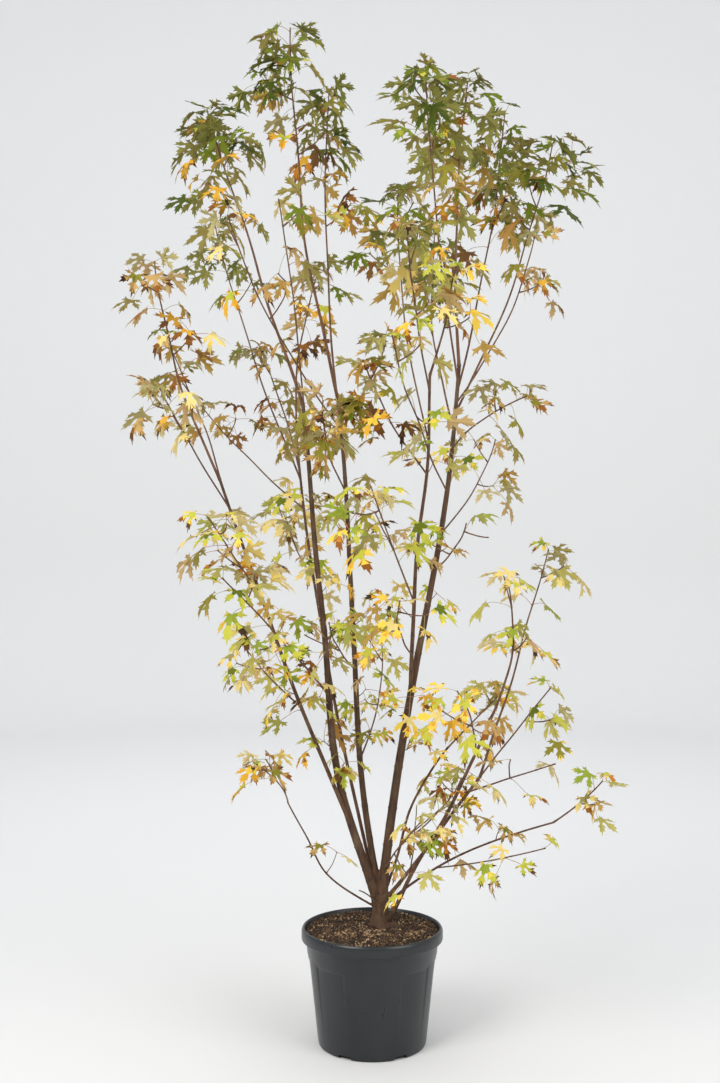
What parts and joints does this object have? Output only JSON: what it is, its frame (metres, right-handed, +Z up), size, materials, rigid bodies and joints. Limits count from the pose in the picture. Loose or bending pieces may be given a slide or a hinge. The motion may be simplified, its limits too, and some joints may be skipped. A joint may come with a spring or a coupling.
{
  "type": "potted silver maple",
  "caption": "Young multi-stem silver maple in autumn leaf, with slim spreading stems, rooted in a round black nursery pot filled with soil.",
  "frame": {"origin": "centre of the pot's flat underside, on the floor", "axes": "+Z up along the plant, +X to the right as seen from the front, +Y away from the front"},
  "size_m": [1.781, 1.5349, 3.5686],
  "materials": {
    "pot": "satin, charcoal, moulded",
    "soil": "rough, damp peat and bark crumbs",
    "bark": "rough, red-brown to grey-brown young bark",
    "leaves_green": "matte, dark and mid green with some gold",
    "leaves_fresh": "matte, yellow-green",
    "leaves_turning": "matte, green turning yellow",
    "leaves_gold": "matte, gold and lime",
    "leaves_amber": "matte, orange-brown and gold",
    "leaves_tan": "matte, buff, tan and grey-green"
  },
  "bodies": {
    "root": {"pot": "pot", "soil": "soil", "trunk": "bark", "back_stem": "bark", "behind_right_stem": "bark", "front_right_stem": "bark", "left_stem": "bark", "lowest_left_stem": "bark", "lowest_right_stem": "bark", "middle_stem": "bark", "outer_left_stem": "bark", "pair_left_stem": "bark", "pair_right_stem": "bark", "right_stem": "bark", "back_crown": "leaves_amber", "back_left_tip": "leaves_amber", "back_long_shoot": "leaves_green", "back_middle": "leaves_turning", "behind_right_tip": "leaves_gold", "far_left_tip": "leaves_amber", "far_right_low": "leaves_tan", "far_right_tip": "leaves_green", "front_crown": "leaves_gold", "front_left_shoot": "leaves_fresh", "front_low": "leaves_gold", "front_mid": "leaves_turning", "front_side_shoot": "leaves_amber", "front_tall_shoot": "leaves_green", "left_crown": "leaves_green", "left_low_front": "leaves_turning", "left_side_shoot": "leaves_turning", "low_back": "leaves_gold", "low_centre": "leaves_fresh", "lowest_left_tip": "leaves_amber", "lowest_right_side": "leaves_turning", "lowest_right_tip": "leaves_turning", "middle_left_shoot": "leaves_turning", "middle_low_left": "leaves_fresh", "middle_low_right": "leaves_fresh", "middle_upper": "leaves_tan", "outer_inner_tip": "leaves_amber", "outer_low": "leaves_tan", "outer_low_back": "leaves_turning", "outer_middle": "leaves_turning", "outer_tip": "leaves_tan", "pair_left_side": "leaves_gold", "pair_left_tip": "leaves_gold", "pair_right_low": "leaves_turning", "pair_right_side": "leaves_turning", "pair_right_upper": "leaves_turning", "right_back_shoot": "leaves_green", "right_front_shoot": "leaves_turning", "right_low_side": "leaves_tan", "right_mid_back": "leaves_fresh", "right_mid_side": "leaves_tan", "right_top": "leaves_green", "right_top_left": "leaves_green", "right_top_right": "leaves_green", "top_left": "leaves_green", "top_middle": "leaves_green"}
  },
  "joints": []
}
